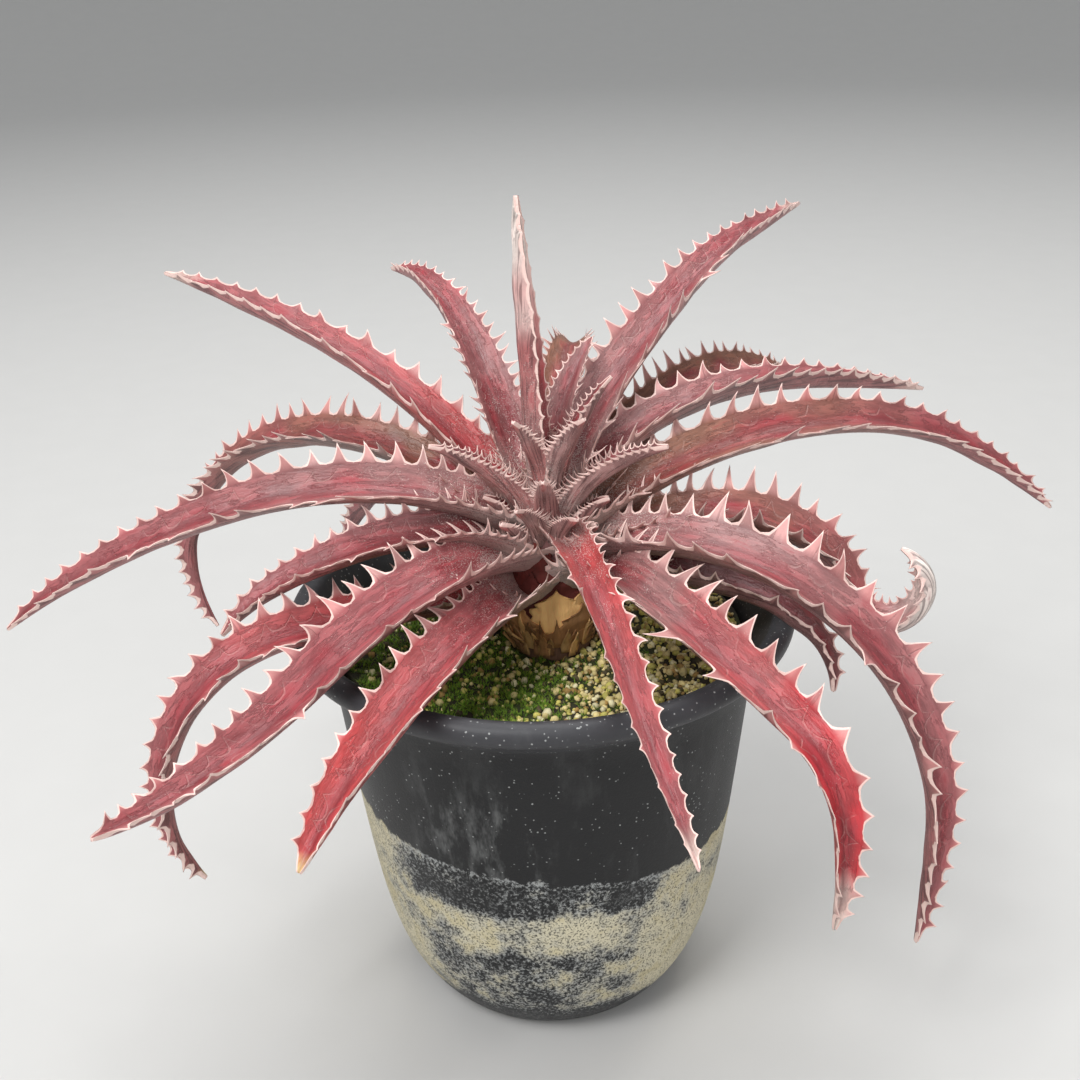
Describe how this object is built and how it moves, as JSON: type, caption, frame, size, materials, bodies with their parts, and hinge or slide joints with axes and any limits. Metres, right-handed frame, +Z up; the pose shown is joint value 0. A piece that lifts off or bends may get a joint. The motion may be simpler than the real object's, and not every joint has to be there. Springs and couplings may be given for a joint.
{
  "type": "dyckia bromeliad in a pot",
  "caption": "Spiny rosette of dark red, arching, toothed leaves on a short stem, rooted in a round black plastic pot of gritty soil.",
  "frame": {"origin": "centre of the pot's flat underside, on the surface that the pot stands on", "axes": "+Z up along the pot's axis; -Y faces the viewer of the picture, +X to the right"},
  "size_m": [0.2304, 0.1861, 0.1748],
  "materials": {
    "pot": "matte black moulded plastic with pale dust specks and a beige-green mineral crust on its lower part",
    "soil": "dark gritty potting mix with green moss and pale yellow-green grit",
    "stem": "rough brown trunk with papery old leaf sheaths",
    "leaf": "thick satin leaves, mauve-grey to deep red, with white scurf, dark red channels and pinkish white toothed margins"
  },
  "bodies": {
    "root": {"pot": "pot", "soil": "soil", "stem": "stem", "leaf_01": "leaf", "leaf_02": "leaf", "leaf_03": "leaf", "leaf_04": "leaf", "leaf_05": "leaf", "leaf_06": "leaf", "leaf_07": "leaf", "leaf_08": "leaf", "leaf_09": "leaf", "leaf_10": "leaf", "leaf_11": "leaf", "leaf_12": "leaf", "leaf_13": "leaf", "leaf_14": "leaf", "leaf_15": "leaf", "leaf_16": "leaf", "leaf_17": "leaf", "leaf_18": "leaf", "leaf_19": "leaf", "leaf_20": "leaf", "leaf_21": "leaf", "leaf_22": "leaf"}
  },
  "joints": []
}
